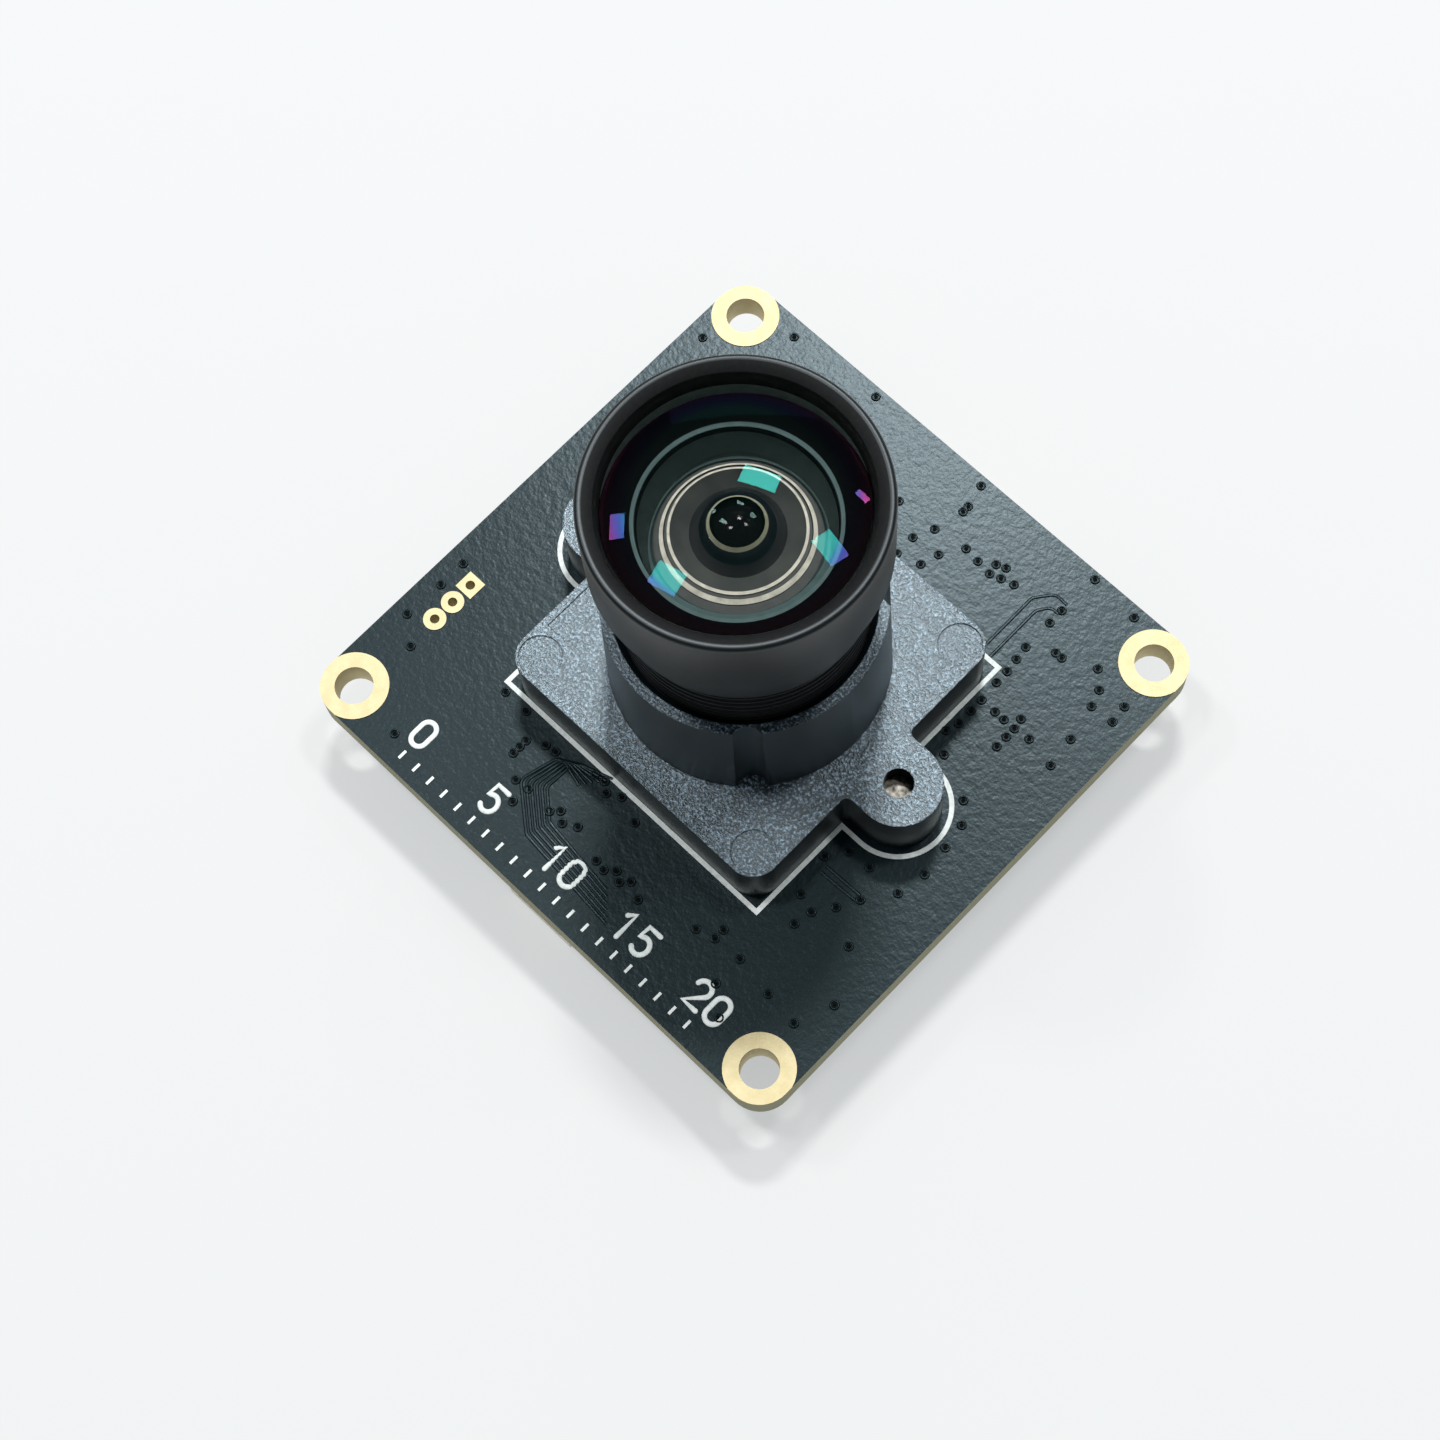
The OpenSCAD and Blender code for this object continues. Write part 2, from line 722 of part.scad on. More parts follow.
module power_inductor() {
  color("#55565a") place(inductor_at) difference() {
    under([inductor_side, inductor_side, inductor_height]);
    inductor_end_blocks();
  }
}

module inductor_end_blocks() {
  for (x = [-1, 1]) under(inductor_end, [x * (inductor_side - inductor_end[0]) / 2, 0]);
}

module inductor_ends() {
  color("#c8cbcd") place(inductor_at) inductor_end_blocks();
}

// Body and metal ends of a two-ended chip part
module chip_body(length, width, height) {
  under([length * (1 - 2 * end_share), width, height]);
}

module chip_ends(length, width, height) {
  for (x = [-1, 1]) under([length * end_share, width, height],
    [x * length * (1 - end_share) / 2, 0]);
}

module capacitors() {
  color("#9a7b55") for (at = caps_at) place(at) chip_body(cap_length, cap_width, cap_width);
}

module capacitor_ends() {
  color("#c8cbcd") for (at = caps_at) place(at) chip_ends(cap_length, cap_width, cap_width);
}

module resistors() {
  color("#202224") for (at = res_at) place(at) chip_body(res_length, res_width, res_height);
}

module resistor_ends() {
  color("#c8cbcd") for (at = res_at) place(at) chip_ends(res_length, res_width, res_height);
}

pcb();
mounting_rings();
header_pads();
outline_ink();
lens_holder();
holder_screws();
ir_filter();
sensor_package();
sensor_die();
sensor_glass();
lens_barrel();
front_lens();
front_spacer();
second_lens();
middle_spacer();
third_lens();
aperture_stop();
rear_spacer();
rear_lens();
wide_connector();
wide_contacts();
narrow_connector();
narrow_contacts();
solder_tabs();
image_processor();
processor_joints();
flash_memory();
flash_leads();
crystal_base();
crystal_lid();
regulators();
regulator_leads();
power_inductor();
inductor_ends();
capacitors();
capacitor_ends();
resistors();
resistor_ends();
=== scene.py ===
import math

import bmesh
import bpy
from mathutils import Matrix, Vector


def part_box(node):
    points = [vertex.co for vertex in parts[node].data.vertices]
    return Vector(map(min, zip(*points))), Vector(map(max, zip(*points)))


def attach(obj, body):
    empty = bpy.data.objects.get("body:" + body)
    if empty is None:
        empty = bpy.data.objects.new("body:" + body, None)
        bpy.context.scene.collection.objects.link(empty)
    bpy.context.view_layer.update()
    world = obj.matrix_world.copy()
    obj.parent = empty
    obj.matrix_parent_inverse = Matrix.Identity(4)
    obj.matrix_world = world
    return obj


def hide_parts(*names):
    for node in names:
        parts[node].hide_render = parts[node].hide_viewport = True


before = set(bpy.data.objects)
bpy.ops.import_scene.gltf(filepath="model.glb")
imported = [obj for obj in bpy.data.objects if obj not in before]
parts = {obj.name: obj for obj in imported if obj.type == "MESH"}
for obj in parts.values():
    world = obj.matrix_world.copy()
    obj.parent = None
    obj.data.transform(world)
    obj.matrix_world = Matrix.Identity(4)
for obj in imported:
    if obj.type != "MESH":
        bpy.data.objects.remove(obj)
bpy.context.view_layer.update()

MM = 0.001
board_low, board_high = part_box("pcb")
board_top = board_high.z
board_under = board_low.z


# The camera that looks at the module: a normal lens close above it, leaning down over the
# board's corner, so the tall lens points a little past it.
camera_data = bpy.data.cameras.new("view_camera")
camera_data.sensor_width = 36
camera_data.lens = 69.75
camera_data.clip_start = 0.005
camera = bpy.data.objects.new("view_camera", camera_data)
bpy.context.scene.collection.objects.link(camera)
camera_right = Vector((0.71608, 0.69661, -0.04442))
camera_up = Vector((-0.64798, 0.68705, 0.32875))
camera_back = camera_right.cross(camera_up)
turn = Matrix((camera_right, camera_up, camera_back)).transposed()
camera_place = Vector((36.78 * MM, -31.72 * MM, board_top + 131.84 * MM))
camera.matrix_world = Matrix.Translation(camera_place) @ turn.to_4x4()
bpy.context.scene.camera = camera


# Every colour below is written as it looks on a screen; the shaders want linear light.
def linear(code):
    channels = [int(code[i:i + 2], 16) / 255 for i in (1, 3, 5)]
    return tuple(c / 12.92 if c <= 0.04045 else ((c + 0.055) / 1.055) ** 2.4
                 for c in channels) + (1.0,)


def add(tree, kind, settings=None, **inputs):
    """Adds a node; inputs are sockets to link or values to set, named with _ for spaces."""
    node = tree.nodes.new(kind)
    for name, value in (settings or {}).items():
        setattr(node, name, value)
    for name, value in inputs.items():
        socket = node.inputs[int(name[1:]) if name[1:].isdigit() else name.replace("_", " ")]
        if isinstance(value, bpy.types.NodeSocket):
            tree.links.new(value, socket)
        else:
            socket.default_value = value
    return node


def new_material(name, **inputs):
    """A material with one Principled shader; returns material, tree and shader."""
    material = bpy.data.materials.new(name)
    material.use_nodes = True
    tree = material.node_tree
    shader = tree.nodes["Principled BSDF"]
    for key, value in inputs.items():
        shader.inputs[key.replace("_", " ")].default_value = value
    return material, tree, shader


def ramp(tree, factor, stops, mode="LINEAR"):
    """A colour ramp with its stops given as (position, colour)."""
    node = add(tree, "ShaderNodeValToRGB", Fac=factor)
    node.color_ramp.interpolation = mode
    elements = node.color_ramp.elements
    while len(elements) < len(stops):
        elements.new(1.0)
    for element, (position, colour) in zip(elements, stops):
        element.position = position
        element.color = colour if len(colour) == 4 else (*colour, 1.0)
    return node


# The table under the module: a smooth pale sheet that only shows the soft shadow.
floor_mesh = bpy.data.meshes.new("table_sheet")
floor_mesh.from_pydata([(-1.5, -1.5, 0), (1.5, -1.5, 0), (1.5, 1.5, 0), (-1.5, 1.5, 0)],
                       [], [(0, 1, 2, 3)])
floor = bpy.data.objects.new("table_sheet", floor_mesh)
bpy.context.scene.collection.objects.link(floor)
paper, tree, shader = new_material("backlit_white_acrylic", Roughness=0.9,
                                   Specular_IOR_Level=0.1, Emission_Strength=0.475)
shader.inputs["Base Color"].default_value = (0.31, 0.31, 0.31, 1)
shader.inputs["Emission Color"].default_value = (0.97, 1.0, 1.01, 1)
floor_mesh.materials.append(paper)

# Even, faint light from the white room, as from a light tent.
world = bpy.data.worlds.new("light_tent")
bpy.context.scene.world = world
world.use_nodes = True
sky = world.node_tree.nodes["Background"]
sky.inputs["Color"].default_value = linear("#f4f8fa")
seen = add(world.node_tree, "ShaderNodeLightPath").outputs["Is Glossy Ray"]
level = add(world.node_tree, "ShaderNodeMapRange", Value=seen, To_Min=0.35, To_Max=0.07)
world.node_tree.links.new(level.outputs["Result"], sky.inputs["Strength"])

# Small studio lamps high above the table. Each is given by the direction it stands in, the
# two sides of its bright face seen from the lens, and its brightness.
LAMP_DISTANCE = 0.6
lamps = [
    ("key_lamp", (-0.304, 0.391, 0.869), (0.13, 0.06, 0.02), (0.03, -0.06, 0.04), 200),
    ("left_lamp", (-0.288, -0.133, 0.949), (0.12, 0.02, 0.04), (0.04, -0.09, 0.0), 60),
    ("right_lamp", (0.076, 0.385, 0.920), (0.01, 0.08, -0.04), (0.11, -0.06, 0.02), 60),
    ("low_left_lamp", (-0.565, -0.089, 0.821), (-0.06, 0.08, -0.03), (0.04, 0.03, 0.03), 60),
    ("low_right_lamp", (0.0, 0.604, 0.797), (0.0, 0.02, -0.02), (0.05, -0.02, 0.01), 60),
    ("far_panel", (-0.526, 0.550, 0.649), (0.38, 0.38, -0.02), (0.07, -0.03, 0.08), 3.0),
]
lens_middle = Vector((0, 0, board_top + 21 * MM))
for name, direction, side_a, side_b, brightness in lamps:
    direction = Vector(direction).normalized()
    across = Vector(side_a)
    across = (across - direction * across.dot(direction)).normalized()
    upright = direction.cross(across)
    width = Vector(side_a).length * LAMP_DISTANCE
    height = Vector(side_b).length * LAMP_DISTANCE
    lamp_data = bpy.data.lights.new(name, "AREA")
    lamp_data.shape = "RECTANGLE"
    lamp_data.size, lamp_data.size_y = width, height
    lamp_data.energy = brightness * math.pi * width * height
    lamp = bpy.data.objects.new(name, lamp_data)
    bpy.context.scene.collection.objects.link(lamp)
    turn = Matrix((across, upright, direction)).transposed()
    lamp.matrix_world = (Matrix.Translation(lens_middle + direction * LAMP_DISTANCE)
                         @ turn.to_4x4())


# The circuit board is glass and epoxy laminate with a black-green solder mask that was
# sprayed on and cured: satin, faintly orange-peeled. Its routed edge is bare, olive resin.
def surface_noise(tree, size_mm, detail=3.0, roughness=0.5, place=None):
    """Noise whose features are about size_mm across."""
    if place is None:
        place = add(tree, "ShaderNodeTexCoord").outputs["Object"]
    return add(tree, "ShaderNodeTexNoise", Vector=place, Scale=1 / (size_mm * MM),
               Detail=detail, Roughness=roughness).outputs["Fac"]


def solder_mask_material(name, peel):
    material, tree, shader = new_material(name, IOR=1.33,
                                          Specular_Tint=(0.70, 0.87, 0.94, 1.0))
    cloud = surface_noise(tree, 9.0, 4.0)
    tone = ramp(tree, cloud, [(0.3, linear("#07161a")), (0.7, linear("#0a1b1e"))])
    tree.links.new(tone.outputs["Color"], shader.inputs["Base Color"])
    fine = surface_noise(tree, 0.16, 2.0)
    gloss = add(tree, "ShaderNodeMapRange", Value=fine, To_Min=0.27, To_Max=0.34)
    tree.links.new(gloss.outputs["Result"], shader.inputs["Roughness"])
    wave = surface_noise(tree, 0.42, 2.5)
    height = add(tree, "ShaderNodeMath", {"operation": "MULTIPLY_ADD"},
                 _0=fine, _1=0.45, _2=wave)
    bump = add(tree, "ShaderNodeBump", Height=height.outputs["Value"], Strength=peel,
               Distance=0.03 * MM)
    tree.links.new(bump.outputs["Normal"], shader.inputs["Normal"])
    return material


solder_mask = solder_mask_material("solder_mask_black_green", 0.55)

bare_laminate, tree, shader = new_material("fr4_laminate_routed_edge", Roughness=0.62)
place = add(tree, "ShaderNodeTexCoord").outputs["Object"]
height_in_board = add(tree, "ShaderNodeSeparateXYZ", Vector=place).outputs["Z"]
layer_wobble = surface_noise(tree, 0.5, 3.0, place=place)
layer_phase = add(tree, "ShaderNodeMath", {"operation": "MULTIPLY_ADD"},
                  _0=height_in_board, _1=1 / (0.2 * MM), _2=layer_wobble)
layer_line = add(tree, "ShaderNodeMath", {"operation": "PINGPONG"},
                 _0=layer_phase.outputs["Value"], _1=0.5)
tone = ramp(tree, layer_line.outputs["Value"],
            [(0.0, linear("#6f6c4c")), (0.35, linear("#8f8c68")), (0.5, linear("#a5a27f"))])
tree.links.new(tone.outputs["Color"], shader.inputs["Base Color"])
bump = add(tree, "ShaderNodeBump", Height=surface_noise(tree, 0.12), Strength=0.6,
           Distance=0.02 * MM)
tree.links.new(bump.outputs["Normal"], shader.inputs["Normal"])


def finish_node(name, *finishes_given):
    """Gives a carried-over solid its finishes."""
    mesh = parts[name].data
    mesh.materials.clear()
    for finish in finishes_given:
        mesh.materials.append(finish)


finish_node("pcb", solder_mask, bare_laminate)
for face in parts["pcb"].data.polygons:
    face.material_index = 0 if abs(face.normal.z) > 0.9 else 1


# Copper under the mask: short tracks and the widened pads of the vias stand up by the
# copper's thickness, and the mask runs over them with soft shoulders.
def from_tree(name, mesh, build, body):
    """Runs a Geometry Nodes tree on a mesh and keeps its result as a plain mesh."""
    source = bpy.data.objects.new(name + "_source", mesh)
    bpy.context.scene.collection.objects.link(source)
    tree = bpy.data.node_groups.new(name, "GeometryNodeTree")
    tree.interface.new_socket("Geometry", in_out="INPUT", socket_type="NodeSocketGeometry")
    tree.interface.new_socket("Geometry", in_out="OUTPUT", socket_type="NodeSocketGeometry")
    group_in = tree.nodes.new("NodeGroupInput")
    group_out = tree.nodes.new("NodeGroupOutput")
    sizes = build(tree, group_in, group_out)
    modifier = source.modifiers.new(name, "NODES")
    modifier.node_group = tree
    for item in tree.interface.items_tree:
        if item.item_type == "SOCKET" and item.in_out == "INPUT" and item.name in sizes:
            modifier[item.identifier] = sizes[item.name]
    evaluated = source.evaluated_get(bpy.context.evaluated_depsgraph_get())
    result = bpy.data.meshes.new_from_object(evaluated)
    source.modifiers.clear()
    bpy.data.objects.remove(source)
    piece = bpy.data.objects.new(name, result)
    bpy.context.scene.collection.objects.link(piece)
    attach(piece, body)
    return piece


def points_mesh(name, points):
    mesh = bpy.data.meshes.new(name)
    mesh.from_pydata(points, [], [])
    return mesh


# Via places in millimetres from the board's middle, in the groups they are drilled in.
via_places = [
    (-1.1, 12.0), (1.3, 12.1), (0.8, 11.0), (0.8, 9.8), (2.4, 11.2), (2.1, 10.2),
    (3.2, 12.4), (4.1, 12.3), (4.9, 12.8), (5.4, 13.0), (5.0, 12.2), (5.6, 12.4),
    (6.3, 12.6), (1.4, 15.5), (9.1, 15.6), (11.9, 15.4), (9.0, 13.2), (9.0, 12.3),
    (9.0, 10.5), (9.1, 9.7), (9.2, 8.9), (9.2, 8.1), (9.3, 6.9), (9.3, 6.1), (9.3, 5.2),
    (9.1, 4.5), (10.2, 6.9), (10.8, 6.9), (11.5, 6.9), (11.4, 7.5), (11.5, 6.3),
    (11.5, 5.6), (12.4, 7.0), (13.9, 8.4), (12.4, 12.1), (13.2, 11.3), (13.5, 10.4),
    (14.7, 11.5), (14.8, 10.5), (14.1, 6.7), (10.3, 11.3), (10.7, 11.3), (1.7, 14.2),
    (1.7, 13.8), (12.2, 2.4), (13.0, 1.4), (13.2, 0.0), (9.9, -3.4), (9.2, -4.4),
    (11.2, -3.3), (13.4, -1.7), (13.1, -3.3), (9.7, -6.6), (11.4, -5.9), (10.7, -6.9),
    (10.5, -7.9), (7.2, -11.4), (8.2, -10.5), (8.2, -11.1), (13.2, -6.9), (9.8, -11.0),
    (9.8, -12.7), (12.0, -11.3), (11.1, -13.8), (14.7, -9.5), (13.9, -11.5),
    (12.0, -4.8), (-10.9, -14.6), (-5.8, -10.3), (-5.8, -10.75), (-5.8, -11.2),
    (-4.9, -9.8), (-4.3, -9.7), (-2.0, -9.2), (-4.7, -12.1), (-3.9, -12.0),
    (-1.4, -9.1), (-0.9, -9.5), (-0.2, -9.1), (-4.0, -13.0), (1.2, -9.6), (-2.3, -12.1),
    (-1.9, -11.7), (-1.4, -12.1), (-0.7, -11.7), (1.2, -12.3), (1.8, -12.4), (2.3, -12.0),
    (2.8, -12.3), (3.2, -11.9), (4.1, -12.3), (-15.0, -5.8), (-15.0, -7.4), (-15.1, -9.7),
    (-13.7, -10.8), (-8.4, -9.2), (-6.9, -9.2), (-15.0, 11.8), (-11.5, 15.1),
    (-6.0, 15.5), (9.9, 3.5),
]
faces_of_board = [(board_top, 1), (board_under, -1)]
via_points = [(x * MM, y * MM, z) for z, _ in faces_of_board for x, y in via_places]


def via_rims(tree, group_in, group_out):
    """A low soft-shouldered ring of mask round each hole."""
    for label in ("Rim Radius", "Rim Width", "Rim Height"):
        tree.interface.new_socket(label, in_out="INPUT", socket_type="NodeSocketFloat")
    ring = add(tree, "GeometryNodeCurvePrimitiveCircle", Resolution=18)
    tree.links.new(group_in.outputs["Rim Radius"], ring.inputs["Radius"])
    section = add(tree, "GeometryNodeCurvePrimitiveCircle", Resolution=8, Radius=1.0)
    flat = add(tree, "ShaderNodeCombineXYZ", X=group_in.outputs["Rim Height"],
               Y=group_in.outputs["Rim Width"], Z=1.0)
    squashed = add(tree, "GeometryNodeTransform", Geometry=section.outputs["Curve"],
                   Scale=flat.outputs["Vector"])
    rim = add(tree, "GeometryNodeCurveToMesh", Curve=ring.outputs["Curve"],
              Profile_Curve=squashed.outputs["Geometry"])
    smooth = add(tree, "GeometryNodeSetShadeSmooth", Geometry=rim.outputs["Mesh"])
    placed = add(tree, "GeometryNodeInstanceOnPoints", Points=group_in.outputs["Geometry"],
                 Instance=smooth.outputs["Geometry"])
    real = add(tree, "GeometryNodeRealizeInstances", Geometry=placed.outputs["Instances"])
    done = add(tree, "GeometryNodeSetMaterial", Geometry=real.outputs["Geometry"],
               Material=solder_mask)
    tree.links.new(done.outputs["Geometry"], group_out.inputs["Geometry"])
    return {"Rim Radius": 0.2 * MM, "Rim Width": 0.085 * MM, "Rim Height": 0.06 * MM}


via_rim_piece = from_tree("via_rims", points_mesh("via_points", via_points), via_rims,
                          "board")

# Near-black plugs in the vias: painted shade standing in for the dark inside of each hole.
hole_painted_shade, tree, shader = new_material("hole_plug_painted_shade", Roughness=0.9,
                                       Specular_IOR_Level=0.1)
speck = ramp(tree, surface_noise(tree, 0.08), [(0.4, linear("#050606")),
                                               (0.7, linear("#0d0f0f"))])
tree.links.new(speck.outputs["Color"], shader.inputs["Base Color"])


def via_bores(tree, group_in, group_out):
    """A shallow closed plug at each drilled hole, near-black as painted shade for the hole.
    """
    tree.interface.new_socket("Hole Radius", in_out="INPUT", socket_type="NodeSocketFloat")
    tree.interface.new_socket("Hole Height", in_out="INPUT", socket_type="NodeSocketFloat")
    plug = add(tree, "GeometryNodeMeshCylinder", Vertices=14)
    tree.links.new(group_in.outputs["Hole Radius"], plug.inputs["Radius"])
    tree.links.new(group_in.outputs["Hole Height"], plug.inputs["Depth"])
    placed = add(tree, "GeometryNodeInstanceOnPoints", Points=group_in.outputs["Geometry"],
                 Instance=plug.outputs["Mesh"])
    real = add(tree, "GeometryNodeRealizeInstances", Geometry=placed.outputs["Instances"])
    done = add(tree, "GeometryNodeSetMaterial", Geometry=real.outputs["Geometry"],
               Material=hole_painted_shade)
    tree.links.new(done.outputs["Geometry"], group_out.inputs["Geometry"])
    return {"Hole Radius": 0.12 * MM, "Hole Height": 0.03 * MM}


via_shade_plug_piece = from_tree("via_bores", points_mesh("bore_points", via_points), via_bores,
                           "board")

# Tracks under the mask, as corner points in millimetres.
relief_tracks = [
    [(7.45, 9.3), (7.45, 12.7), (8.2, 13.65), (9.0, 13.6)],
    [(8.05, 8.9), (8.05, 12.3), (8.5, 12.95), (9.0, 12.95)],
    [(9.6, -4.7), (12.0, -4.65)], [(9.6, -5.1), (12.0, -5.0)],
]
for step in range(6):
    reach = 0.25 * step
    relief_tracks.append([(-1.2 - 0.2 * step, -8.75 - 0.28 * step),
                          (-3.2 - reach * 0.6, -9.4 - reach * 0.2),
                          (-3.3 - reach, -11.3 - reach * 0.5),
                          (-1.9 - reach * 0.3, -12.5 - reach),
                          (2.6 + reach, -13.0 - reach)])


def wire_mesh(name, lines, z):
    corners, edges = [], []
    for line in lines:
        first = len(corners)
        corners += [(x * MM, y * MM, z) for x, y in line]
        edges += [(first + i, first + i + 1) for i in range(len(line) - 1)]
    mesh = bpy.data.meshes.new(name)
    mesh.from_pydata(corners, edges, [])
    return mesh


def track_relief(tree, group_in, group_out):
    """Each track as a low rounded ridge with filleted corners."""
    for label in ("Track Width", "Track Height", "Corner Radius"):
        tree.interface.new_socket(label, in_out="INPUT", socket_type="NodeSocketFloat")
    wire = add(tree, "GeometryNodeMeshToCurve", Mesh=group_in.outputs["Geometry"])
    poly = add(tree, "GeometryNodeFilletCurve", {"mode": "POLY"},
               Curve=wire.outputs["Curve"],
               Radius=group_in.outputs["Corner Radius"])
    poly.inputs["Count"].default_value = 6
    upright = add(tree, "GeometryNodeSetCurveNormal", {"mode": "Z_UP"},
                  Curve=poly.outputs["Curve"])
    section = add(tree, "GeometryNodeCurvePrimitiveCircle", Resolution=10, Radius=1.0)
    flat = add(tree, "ShaderNodeCombineXYZ", X=group_in.outputs["Track Width"],
               Y=group_in.outputs["Track Height"], Z=1.0)
    squashed = add(tree, "GeometryNodeTransform", Geometry=section.outputs["Curve"],
                   Scale=flat.outputs["Vector"])
    ridge = add(tree, "GeometryNodeCurveToMesh", Curve=upright.outputs["Curve"],
                Profile_Curve=squashed.outputs["Geometry"])
    ridge.inputs["Fill Caps"].default_value = True
    smooth = add(tree, "GeometryNodeSetShadeSmooth", Geometry=ridge.outputs["Mesh"])
    done = add(tree, "GeometryNodeSetMaterial", Geometry=smooth.outputs["Geometry"],
               Material=solder_mask)
    tree.links.new(done.outputs["Geometry"], group_out.inputs["Geometry"])
    return {"Track Width": 0.09 * MM, "Track Height": 0.035 * MM, "Corner Radius": 0.5 * MM}


track_piece = from_tree("copper_track_relief", wire_mesh("tracks", relief_tracks, board_top),
                        track_relief, "board")


# Gilt rings and pads: copper with electroless nickel and a flash of gold, flat and satin,
# pale where it faces the light.
gilt, tree, shader = new_material("gold_flashed_copper", Metallic=1.0)
wash = surface_noise(tree, 0.7, 3.0)
tone = ramp(tree, wash, [(0.35, linear("#cdc29c")), (0.7, linear("#d6cca9"))])
tree.links.new(tone.outputs["Color"], shader.inputs["Base Color"])
grain = surface_noise(tree, 0.09, 2.0)
gloss = add(tree, "ShaderNodeMapRange", Value=grain, To_Min=0.62, To_Max=0.7)
tree.links.new(gloss.outputs["Result"], shader.inputs["Roughness"])
bump = add(tree, "ShaderNodeBump", Height=grain, Strength=0.25, Distance=0.01 * MM)
tree.links.new(bump.outputs["Normal"], shader.inputs["Normal"])
for name in ("mounting_rings", "header_pads"):
    finish_node(name, gilt)


# White legend ink, screened on through a mesh: matt, slightly uneven at its edges.
legend_ink, tree, shader = new_material("white_legend_ink", Roughness=0.55)
tone = ramp(tree, surface_noise(tree, 0.25, 3.0),
            [(0.3, linear("#d3dcda")), (0.65, linear("#eef4f2"))])
tree.links.new(tone.outputs["Color"], shader.inputs["Base Color"])
bump = add(tree, "ShaderNodeBump", Height=surface_noise(tree, 0.1), Strength=0.3,
           Distance=0.01 * MM)
tree.links.new(bump.outputs["Normal"], shader.inputs["Normal"])
finish_node("outline_ink", legend_ink)

# A plain millimetre scale is printed along one edge, with a figure every five millimetres.
# Its strokes are drawn with a round nib, as board legends are.
def arc(cx, cy, rx, ry, start, end, steps=14):
    return [(cx + rx * math.cos(math.radians(start + (end - start) * i / steps)),
             cy + ry * math.sin(math.radians(start + (end - start) * i / steps)))
            for i in range(steps + 1)]


figure_strokes = {
    "0": [arc(0, 1.05, 0.42, 0.42, 0, 180) + arc(0, 0.42, 0.42, 0.42, 180, 360)
          + [(0.42, 1.05)]],
    "1": [[(-0.28, 1.15), (0.05, 1.47), (0.05, 0.0)]],
    "2": [arc(0, 1.05, 0.42, 0.42, 170, -35) + [(-0.42, 0.0), (0.45, 0.0)]],
    "5": [[(0.4, 1.47), (-0.32, 1.47), (-0.38, 0.82)]
          + arc(0.0, 0.48, 0.43, 0.48, 125, -140)],
}
NIB = 0.14
scale_lines = []
for value in range(0, 25, 5):
    digits = str(value)
    for place_in_number, digit in enumerate(digits):
        shift = value - 9.8 + (place_in_number - (len(digits) - 1) / 2) * 1.25
        for stroke in figure_strokes[digit]:
            scale_lines.append([(x + shift, y - 14.35) for x, y in stroke])


def inked_strokes(name, lines, nib, z, thickness):
    """Strokes as flat ink with round ends."""
    curve = bpy.data.curves.new(name, "CURVE")
    curve.dimensions = "3D"
    curve.bevel_depth = nib * MM
    curve.bevel_resolution = 3
    curve.use_fill_caps = True
    for line in lines:
        first, last = Vector(line[0]), Vector(line[-1])
        closed = (first - last).length < 1e-6
        points = [(x, y, 1.0) for x, y in line]
        if not closed:
            tips = []
            for end, beside in ((first, Vector(line[1])), (last, Vector(line[-2]))):
                out = (end - beside).normalized()
                cap = [(end.x + out.x * nib * math.sin(a), end.y + out.y * nib * math.sin(a),
                        max(math.cos(a), 0.03))
                       for a in [math.radians(step) for step in (20, 40, 60, 75, 89)]]
                tips.append(cap)
            points = tips[0][::-1] + points + tips[1]
        else:
            points = points[:-1]
        spline = curve.splines.new("POLY")
        spline.points.add(len(points) - 1)
        spline.use_cyclic_u = closed
        for point, (x, y, radius) in zip(spline.points, points):
            point.co = (x * MM, y * MM, 0, 1)
            point.radius = radius
    stroke_object = bpy.data.objects.new(name, curve)
    bpy.context.scene.collection.objects.link(stroke_object)
    evaluated = stroke_object.evaluated_get(bpy.context.evaluated_depsgraph_get())
    mesh = bpy.data.meshes.new_from_object(evaluated)
    bpy.data.objects.remove(stroke_object)
    mesh.transform(Matrix.Translation((0, 0, z))
                   @ Matrix.Diagonal((1, 1, thickness / nib, 1)))
    piece = bpy.data.objects.new(name, mesh)
    bpy.context.scene.collection.objects.link(piece)
    return piece


scale_figures = inked_strokes("scale_figures", scale_lines, NIB, board_top, 0.045)
scale_figures.data.materials.append(legend_ink)
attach(scale_figures, "board")

tick_points = [((value - 9.8) * MM, -15.1 * MM, board_top) for value in range(0, 21)]


def scale_ticks(tree, group_in, group_out):
    """One short printed line at each millimetre."""
    tree.interface.new_socket("Tick Length", in_out="INPUT", socket_type="NodeSocketFloat")
    tree.interface.new_socket("Tick Width", in_out="INPUT", socket_type="NodeSocketFloat")
    size = add(tree, "ShaderNodeCombineXYZ", X=group_in.outputs["Tick Width"],
               Y=group_in.outputs["Tick Length"], Z=0.09 * MM)
    tick = add(tree, "GeometryNodeMeshCube", Size=size.outputs["Vector"])
    placed = add(tree, "GeometryNodeInstanceOnPoints", Points=group_in.outputs["Geometry"],
                 Instance=tick.outputs["Mesh"])
    real = add(tree, "GeometryNodeRealizeInstances", Geometry=placed.outputs["Instances"])
    done = add(tree, "GeometryNodeSetMaterial", Geometry=real.outputs["Geometry"],
               Material=legend_ink)
    tree.links.new(done.outputs["Geometry"], group_out.inputs["Geometry"])
    return {"Tick Length": 0.5 * MM, "Tick Width": 0.15 * MM}


scale_tick_piece = from_tree("scale_ticks", points_mesh("tick_points", tick_points),
                             scale_ticks, "board")
